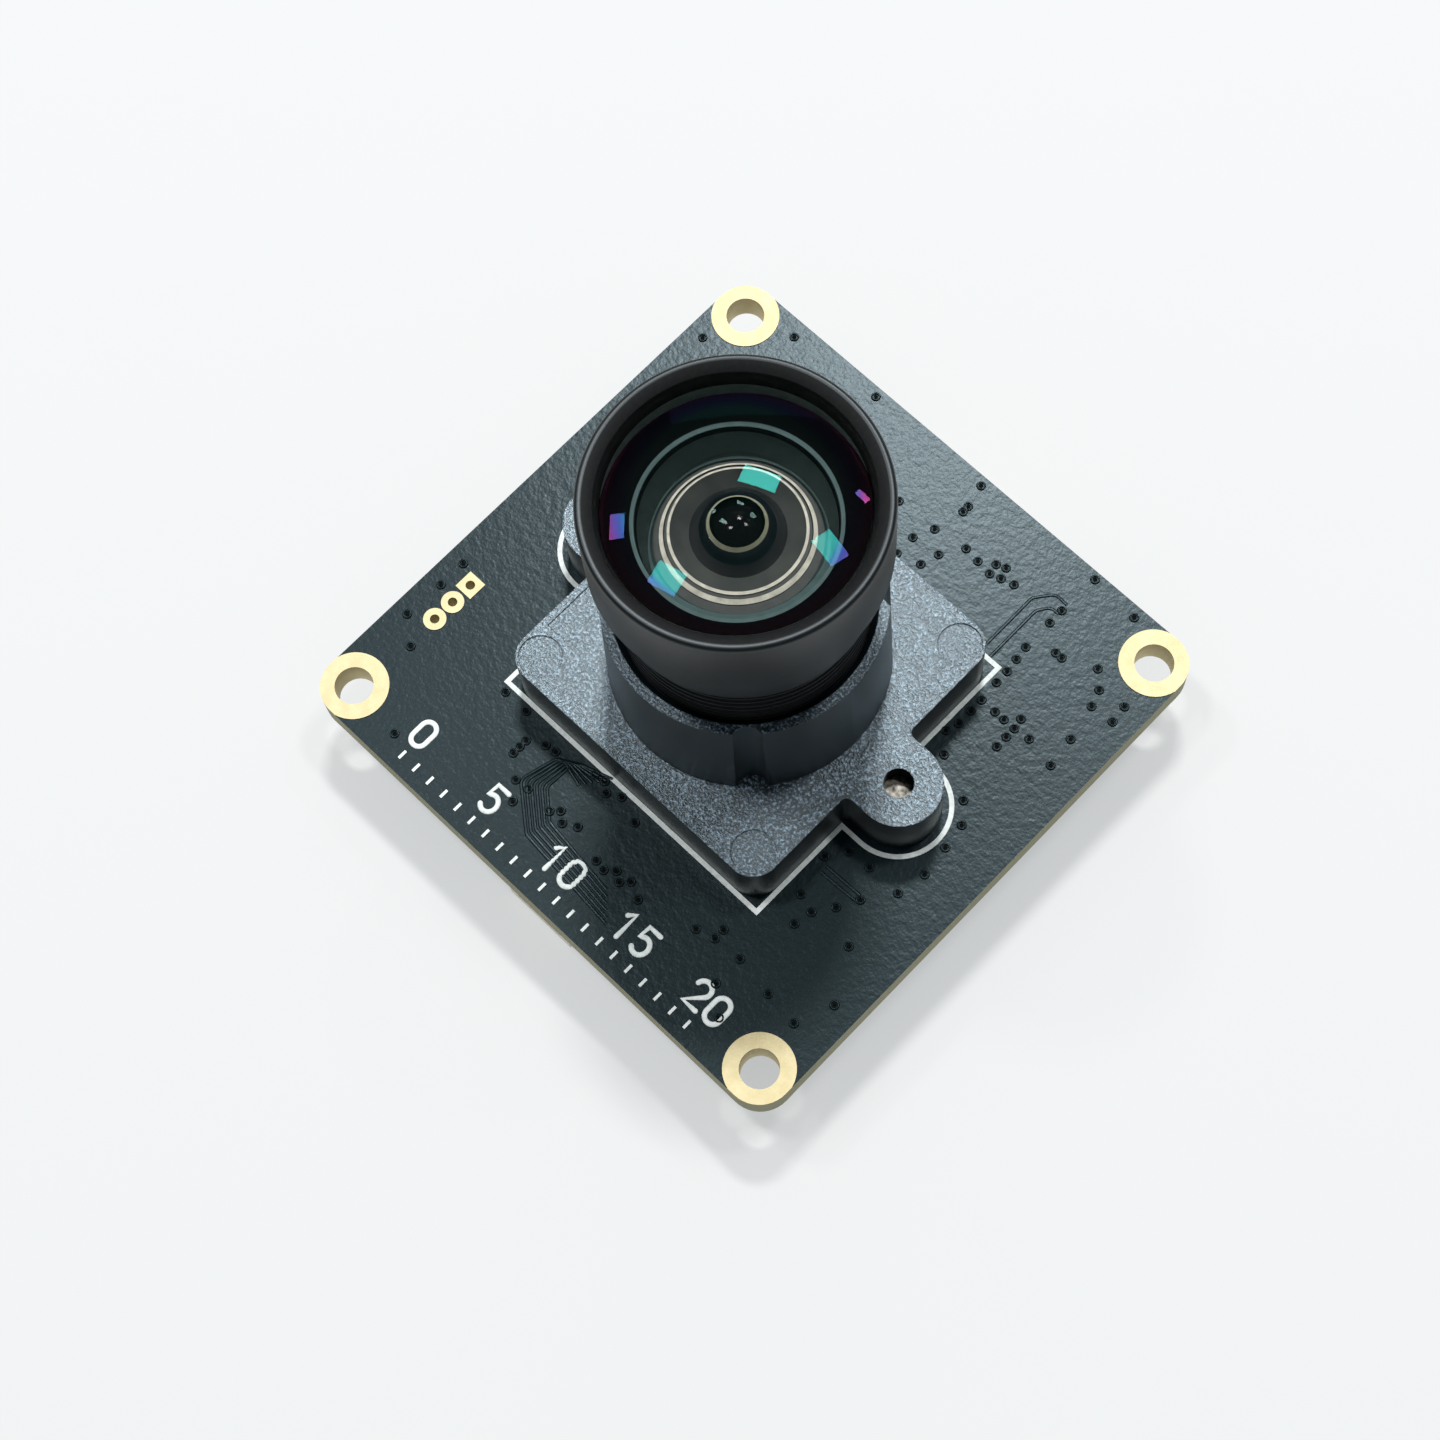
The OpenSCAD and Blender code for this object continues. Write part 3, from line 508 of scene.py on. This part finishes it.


# The lens holder is one moulding of black glass-filled nylon. Its upward faces carry the
# mould's spark-eroded texture as a bump, and their colour is painted lighter with pale
# flecks, a painted sheen and painted glints; its walls came off polished steel and keep the
# dark colour.
holder_nylon, tree, shader = new_material("moulded_glass_filled_nylon", IOR=1.55,
                                          Specular_IOR_Level=1.0,
                                          Specular_Tint=(0.78, 0.93, 1.0, 1.0))
coordinates = add(tree, "ShaderNodeTexCoord")
place = coordinates.outputs["Object"]
faces_up = add(tree, "ShaderNodeSeparateXYZ",
               Vector=coordinates.outputs["Normal"]).outputs["Z"]
# Upward faces get the texture, and also the painted glints and sheen below.
upward_texture_and_sheen = add(tree, "ShaderNodeMapRange", Value=faces_up, From_Min=0.7, From_Max=0.9)
grit_and_glints = surface_noise(tree, 0.13, 2.5, 0.62, place)
# Pale flecks: painted glints and painted sheen on the upward faces, not the nylon's own
# colour.
painted_glint_flecks = ramp(tree, grit_and_glints, [(0.38, linear("#0b1116")), (0.5, linear("#202b33")),
                           (0.6, linear("#6d8293")), (0.7, linear("#a3b7c6"))])
walls = ramp(tree, surface_noise(tree, 1.4, 3.0, place=place),
             [(0.3, linear("#0a1015")), (0.7, linear("#0e151b"))])
# Upward faces take the painted glints and sheen; walls keep the plain dark nylon.
tone = add(tree, "ShaderNodeMix", {"data_type": "RGBA"}, _0=upward_texture_and_sheen.outputs["Result"],
           _6=walls.outputs["Color"], _7=painted_glint_flecks.outputs["Color"])
tree.links.new(tone.outputs[2], shader.inputs["Base Color"])
gloss = add(tree, "ShaderNodeMapRange", Value=upward_texture_and_sheen.outputs["Result"], To_Min=0.38,
            To_Max=0.33)
tree.links.new(gloss.outputs["Result"], shader.inputs["Roughness"])
depth = add(tree, "ShaderNodeMapRange", Value=upward_texture_and_sheen.outputs["Result"], To_Min=0.08,
            To_Max=1.0)
bump = add(tree, "ShaderNodeBump", Height=grit_and_glints, Distance=0.05 * MM)
tree.links.new(depth.outputs["Result"], bump.inputs["Strength"])
soft_edge = add(tree, "ShaderNodeBevel", Radius=0.08 * MM)
tree.links.new(soft_edge.outputs["Normal"], bump.inputs["Normal"])
tree.links.new(bump.outputs["Normal"], shader.inputs["Normal"])
finish_node("lens_holder", holder_nylon)


# Two small self-tapping screws, zinc-plated steel, come up through the board.
screw_steel, tree, shader = new_material("zinc_plated_steel", Metallic=1.0)
tone = ramp(tree, surface_noise(tree, 0.3, 3.0),
            [(0.3, linear("#1f1e1c")), (0.7, linear("#77746c"))])
tree.links.new(tone.outputs["Color"], shader.inputs["Base Color"])
gloss = add(tree, "ShaderNodeMapRange", Value=surface_noise(tree, 0.1), To_Min=0.2,
            To_Max=0.4)
tree.links.new(gloss.outputs["Result"], shader.inputs["Roughness"])
finish_node("holder_screws", screw_steel)


# The lens barrel is turned aluminium, anodised black: an even satin, with a fine grain
# and a little dust.
black_anodised, tree, shader = new_material("black_anodised_aluminium", IOR=1.5,
                                            Specular_Tint=(0.85, 0.95, 1.0, 1.0))
tone = ramp(tree, surface_noise(tree, 0.5, 4.0),
            [(0.35, linear("#090c0d")), (0.7, linear("#0e1112"))])
tree.links.new(tone.outputs["Color"], shader.inputs["Base Color"])
shader.inputs["Roughness"].default_value = 0.42
bump = add(tree, "ShaderNodeBump", Height=surface_noise(tree, 0.06, 2.0), Strength=0.15,
           Distance=0.01 * MM)
tree.links.new(bump.outputs["Normal"], shader.inputs["Normal"])

# The mouth inside the rim is blasted before it is anodised, and looks flat.
blasted_mouth, tree, shader = new_material("blasted_black_anodised", Roughness=0.55,
                                           Specular_IOR_Level=0.22)
tone = ramp(tree, surface_noise(tree, 0.2, 3.0),
            [(0.35, linear("#07090a")), (0.7, linear("#0d1113"))])
tree.links.new(tone.outputs["Color"], shader.inputs["Base Color"])


def lathe(name, profile, body, slot, *materials, segments=192, closed=True):
    """A closed solid of revolution; the profile is (radius mm, height mm, material index
    of the face that starts there), and heights count from the board's top."""
    bm = bmesh.new()
    rings = []
    for radius, height, *_ in profile:
        z = board_top + height * MM
        if radius < 1e-6:
            rings.append([bm.verts.new((0, 0, z))])
        else:
            rings.append([bm.verts.new((radius * MM * math.cos(math.tau * i / segments),
                                        radius * MM * math.sin(math.tau * i / segments), z))
                          for i in range(segments)])
    pairs = list(range(len(profile) if closed else len(profile) - 1))
    for k in pairs:
        low, high = rings[k], rings[(k + 1) % len(rings)]
        index = profile[k][2] if len(profile[k]) > 2 else 0
        for i in range(segments):
            j = (i + 1) % segments
            corners = []
            for vert in (low[i % len(low)], low[j % len(low)], high[j % len(high)],
                         high[i % len(high)]):
                if vert not in corners:
                    corners.append(vert)
            if len(corners) > 2:
                bm.faces.new(corners).material_index = index
    bmesh.ops.recalc_face_normals(bm, faces=bm.faces[:])
    mesh = bpy.data.meshes.new(name)
    bm.to_mesh(mesh)
    bm.free()
    mesh.shade_smooth()
    mesh.set_sharp_from_angle(angle=math.radians(24))
    for material in materials:
        mesh.materials.append(material)
    piece = bpy.data.objects.new(name, mesh)
    bpy.context.scene.collection.objects.link(piece)
    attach(piece, body)
    return piece


def cap_arc(half, rise, height, steps=20, inward=True, index=0):
    """Profile points of a ball cap that is half wide and rises over the given height."""
    radius = (half * half + rise * rise) / (2 * abs(rise))
    side = 1 if rise > 0 else -1
    centre = height + rise - side * radius
    reach = math.asin(half / radius)
    angles = [reach * (1 - i / steps) for i in range(steps + 1)]
    points = [(radius * math.sin(a), centre + side * radius * math.cos(a), index)
              for a in angles]
    return points if inward else points[::-1]


barrel_profile = [(3.73, 4.0), (5.52, 4.0), (5.72, 4.2), (5.72, 4.5)]
for turn_index in range(18):
    low = 4.5 + 0.5 * turn_index
    barrel_profile += [(6.0, low + 0.02), (6.0, low + 0.13), (5.72, low + 0.29),
                       (5.72, low + 0.36)]
barrel_profile += [(5.72, 14.2), (6.25, 14.2), (6.35, 14.3), (6.35, 14.6), (7.0, 17.3)]
barrel_profile += [(6.78 + 0.22 * math.cos(a), 21.68 + 0.22 * math.sin(a), 0)
                   for a in [math.radians(15 * i) for i in range(7)]]
barrel_profile += [(6.66, 21.88, 1), (6.2, 21.62, 1), (6.1, 21.45, 1), (6.06, 21.2, 1),
                   (5.99, 20.95, 1), (5.99, 18.56, 1),
                   (4.58, 18.56, 1), (4.58, 16.9, 1), (3.43, 16.9, 1), (3.43, 6.7, 1),
                   (2.83, 6.7, 1)]
barrel = lathe("barrel_body", barrel_profile, "lens", "black_anodised", black_anodised,
               blasted_mouth)
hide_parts("lens_barrel")


# The front glass is a deep meniscus. Its coatings hold back most reflections and tint what
# is left: teal near the middle, then blue, violet and magenta as the surface slopes away.
def coated_glass(name, stops, level, radius):
    material, tree, shader = new_material(name, IOR=1.52, Transmission_Weight=1.0,
                                          Roughness=0.0, Specular_IOR_Level=level)
    place = add(tree, "ShaderNodeTexCoord").outputs["Object"]
    flat = add(tree, "ShaderNodeVectorMath", {"operation": "MULTIPLY"}, _0=place,
               _1=(1, 1, 0))
    distance = add(tree, "ShaderNodeVectorMath", {"operation": "LENGTH"},
                   _0=flat.outputs["Vector"])
    share = add(tree, "ShaderNodeMath", {"operation": "DIVIDE"},
                _0=distance.outputs["Value"], _1=radius * MM)
    tint = ramp(tree, share.outputs["Value"], stops)
    tree.links.new(tint.outputs["Color"], shader.inputs["Specular Tint"])
    let_light_in = add(tree, "ShaderNodeBsdfTransparent")
    shadow = add(tree, "ShaderNodeLightPath").outputs["Is Shadow Ray"]
    mix = add(tree, "ShaderNodeMixShader", _0=shadow, _1=shader.outputs["BSDF"],
              _2=let_light_in.outputs["BSDF"])
    tree.links.new(mix.outputs["Shader"], tree.nodes["Material Output"].inputs["Surface"])
    return material


outer_coating = coated_glass("coated_crown_glass_outer", [
    (0.0, linear("#35d8c8")), (0.785, linear("#35d0c8")), (0.815, linear("#3f9fe0")),
    (0.85, linear("#4f74dc")), (0.89, linear("#7468dc")), (0.92, linear("#a04fc0")),
    (0.95, linear("#e050b0")), (1.0, linear("#8a2a50"))], 0.5, 5.95)
inner_coating = coated_glass("coated_glass_inner", [
    (0.0, linear("#9fc8c4")), (0.6, linear("#86c4bd")), (1.0, linear("#5f9a96"))], 0.5, 4.5)


def matt_shade(name, low, high, size_mm=0.3, **inputs):
    """A ground or blasted face, dull and slightly uneven in tone."""
    material, tree, shader = new_material(name, **inputs)
    tone = ramp(tree, surface_noise(tree, size_mm, 3.0),
                [(0.3, linear(low)), (0.7, linear(high))])
    tree.links.new(tone.outputs["Color"], shader.inputs["Base Color"])
    return material


ground_edge = matt_shade("ground_glass_edge", "#7f9895", "#91a9a6", 0.6, Roughness=0.6,
                         Specular_IOR_Level=0.2)
edge_black, tree, shader = new_material("lens_edge_blackening", Roughness=0.7,
                                        Specular_IOR_Level=0.15)
speck = ramp(tree, surface_noise(tree, 0.2), [(0.4, linear("#040405")),
                                              (0.7, linear("#08090a"))])
tree.links.new(speck.outputs["Color"], shader.inputs["Base Color"])

front_profile = ([(5.95, 18.6, 3), (5.95, 20.9, 0)]
                 + cap_arc(5.95, 0.75, 20.9, 24, True, 0)[1:]
                 + [(r, z, 1) for r, z, _ in cap_arc(4.38, 2.1, 18.6, 28, False, 1)])
front_profile[-1] = (4.38, 18.6, 2)
front_glass = lathe("front_glass", front_profile, "lens", "coated_glass", outer_coating,
                    inner_coating, edge_black, ground_edge, segments=256)
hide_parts("front_lens")

# The front glass mirrors the lamps as crisp tinted panes. For it, and only it, each lamp has
# a dimmer twin in the same place, so that the panes keep their colour.
all_pieces = bpy.data.collections.new("lit_by_lamps")
glass_only = bpy.data.collections.new("lit_by_twins")
all_pieces.objects.link(front_glass)
all_pieces.collection_objects[0].light_linking.link_state = "EXCLUDE"
glass_only.objects.link(front_glass)
twin_shares = {"key_lamp": 0.075, "left_lamp": 0.22, "right_lamp": 0.2, "far_panel": 0.06,
               "low_left_lamp": 0.2, "low_right_lamp": 0.26}
for name, *_ in lamps:
    lamp = bpy.data.objects[name]
    twin = lamp.copy()
    twin.data = lamp.data.copy()
    twin.name = twin.data.name = name + "_twin"
    twin.data.energy *= twin_shares[name]
    bpy.context.scene.collection.objects.link(twin)
    twin.light_linking.receiver_collection = glass_only
    lamp.light_linking.receiver_collection = all_pieces

matt_black, tree, shader = new_material("matt_black_spacer", Roughness=0.65,
                                        Specular_IOR_Level=0.25)
speck = ramp(tree, surface_noise(tree, 0.15), [(0.4, linear("#0b0c0d")),
                                               (0.7, linear("#17191b"))])
tree.links.new(speck.outputs["Color"], shader.inputs["Base Color"])
for name in ("middle_spacer", "aperture_stop", "rear_spacer"):
    finish_node(name, matt_black)


# The ring between the first two glasses is blasted and dyed a dull grey-green.
spacer_green = matt_shade("blasted_grey_green_spacer", "#39504e", "#42595a", 0.5,
                          Roughness=0.6, Specular_IOR_Level=0.2)
finish_node("front_spacer", spacer_green)

# The second glass: its two ground bevels catch the light as pale rings, with a dark step
# between them. Inside them its ground cone is grey, round the small glass of the inner group
# with its own bevel, and the pupil; both are opaque and near-black, painted shade for the
# dim inside of the lens.
ground_glass = matt_shade("ground_glass_bevel", "#a9ab9c", "#d3d4c4", 0.4, Roughness=0.6)
flange_glass = matt_shade("ground_glass_step", "#262d2b", "#343c39", 0.5, Roughness=0.6)
# The inner glass is opaque and near-black: painted shade for the dim view deeper into the
# lens.
inner_glass_painted_shade = matt_shade("inner_glass_painted_dark", "#0a0f12", "#10171b", 0.6, Roughness=0.12,
                        IOR=1.6)
cone_grey = matt_shade("ground_glass_cone", "#353b39", "#474c49", 1.6, Roughness=0.45)
inner_bevel = matt_shade("olive_glass_bevel", "#868c72", "#9aa086", 0.3, Roughness=0.5)
# The pupil is an opaque near-black disc: painted shade where the lens's dark inside shows.
pupil_painted_shade = matt_shade("pupil_painted_shade_black", "#020303", "#040505", 0.6, Roughness=0.03, IOR=1.6)
second_profile = [(4.55, 16.9, 3), (4.55, 18.38, 2), (3.94, 18.38, 2), (3.9, 18.42, 1),
                  (3.68, 18.5, 2), (3.66, 18.4, 2), (3.52, 18.4, 2), (3.5, 18.5, 1),
                  (3.36, 18.52, 4), (2.6, 17.7, 5)]
second_profile += [(2.6 - 0.13 * i, 17.7 + 1.05 * math.sin(math.radians(10.5 * i)), 5)
                   for i in range(1, 9)]
second_profile += [(1.54, 18.74, 7), (1.36, 18.96, 6)]
second_profile += [(r, z, 6) for r, z, _ in cap_arc(1.3, 0.3, 18.76, 8, True, 6)]
second_profile += [(0, 16.9, 3)]
second_glass = lathe("second_glass", second_profile, "lens", "coated_glass", inner_coating,
                     ground_glass, flange_glass, edge_black, cone_grey, inner_glass_painted_shade,
                     pupil_painted_shade, inner_bevel)
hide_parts("second_lens")

third_profile = ([(3.4, 12.1, 1), (3.4, 13.7, 2)] + cap_arc(2.3, 0.7, 13.7, 20, True, 0)
                 + [(0, 12.1, 1)])
third_glass = lathe("third_glass", third_profile, "lens", "coated_glass", inner_coating,
                    edge_black, flange_glass)
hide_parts("third_lens")

rear_profile = ([(3.4, 6.7, 1), (3.4, 8.7, 1)] + cap_arc(2.6, 0.6, 8.7, 16, True, 0)
                + cap_arc(2.7, -0.6, 6.7, 16, False, 0)[:-1] + [(2.7, 6.7, 1)])
rear_glass = lathe("rear_glass", rear_profile, "lens_cell", "coated_glass", inner_coating,
                   edge_black)
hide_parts("rear_lens")


# Under the holder: the infrared filter, and the image sensor in its ceramic package.
filter_glass = coated_glass("infrared_filter_glass", [
    (0.0, linear("#c05a7a")), (1.0, linear("#8a4a9a"))], 0.5, 6.0)
package_ceramic, tree, shader = new_material("alumina_package", Roughness=0.6)
tone = ramp(tree, surface_noise(tree, 0.3), [(0.3, linear("#4a4238")),
                                             (0.7, linear("#5d5548"))])
tree.links.new(tone.outputs["Color"], shader.inputs["Base Color"])
silicon, tree, shader = new_material("silicon_pixel_array", Metallic=0.7, Roughness=0.2)
tone = ramp(tree, surface_noise(tree, 1.5), [(0.3, linear("#3c5570")),
                                             (0.7, linear("#4e4a78"))])
tree.links.new(tone.outputs["Color"], shader.inputs["Base Color"])
cover_glass = coated_glass("sensor_cover_glass", [
    (0.0, linear("#d8f0ee")), (1.0, linear("#b0d8d8"))], 0.4, 5.0)


# The underside: ivory nylon connectors, epoxy chips, tinned leads and ceramic chip parts.
def speckled(name, low, high, size_mm, **inputs):
    """A plain moulded, pressed or plated finish with a fine uneven tone."""
    material, tree, shader = new_material(name, **inputs)
    tone = ramp(tree, surface_noise(tree, size_mm, 3.0),
                [(0.3, linear(low)), (0.7, linear(high))])
    tree.links.new(tone.outputs["Color"], shader.inputs["Base Color"])
    bump = add(tree, "ShaderNodeBump", Height=surface_noise(tree, size_mm / 3),
               Strength=0.3, Distance=size_mm * MM / 20)
    tree.links.new(bump.outputs["Normal"], shader.inputs["Normal"])
    return material


ivory_nylon = speckled("ivory_nylon", "#d9d3c0", "#e8e3d3", 0.5, Roughness=0.45)
tinned_brass = speckled("tinned_brass", "#b9a878", "#d8cba4", 0.2, Roughness=0.3,
                        Metallic=1.0)
solder_tin = speckled("tin_solder", "#b4b7ba", "#d5d8da", 0.2, Roughness=0.28,
                      Metallic=1.0)
chip_epoxy = speckled("moulded_chip_epoxy", "#141516", "#1f2022", 0.15, Roughness=0.6)
crystal_metal = speckled("nickel_lid", "#b5b0a0", "#cfcabb", 0.4, Roughness=0.25,
                         Metallic=1.0)
ferrite = speckled("pressed_ferrite", "#3c3d40", "#55565a", 0.2, Roughness=0.7)
capacitor_tan = speckled("fired_capacitor_ceramic", "#8c6b48", "#a58359", 0.3,
                         Roughness=0.4)
resistor_black = speckled("resistor_overglaze", "#121314", "#1d1e20", 0.2, Roughness=0.35)
finishes = {
    "ir_filter": filter_glass, "sensor_package": package_ceramic, "sensor_die": silicon,
    "sensor_glass": cover_glass, "wide_connector": ivory_nylon,
    "narrow_connector": ivory_nylon, "wide_contacts": tinned_brass,
    "narrow_contacts": tinned_brass, "solder_tabs": solder_tin,
    "image_processor": chip_epoxy, "processor_joints": solder_tin,
    "flash_memory": chip_epoxy, "flash_leads": solder_tin, "crystal_base": package_ceramic,
    "crystal_lid": crystal_metal, "regulators": chip_epoxy, "regulator_leads": solder_tin,
    "power_inductor": ferrite, "inductor_ends": solder_tin, "capacitors": capacitor_tan,
    "capacitor_ends": solder_tin, "resistors": resistor_black, "resistor_ends": solder_tin,
}
for name, material in finishes.items():
    finish_node(name, material)


bpy.context.scene.view_settings.view_transform = "Standard"
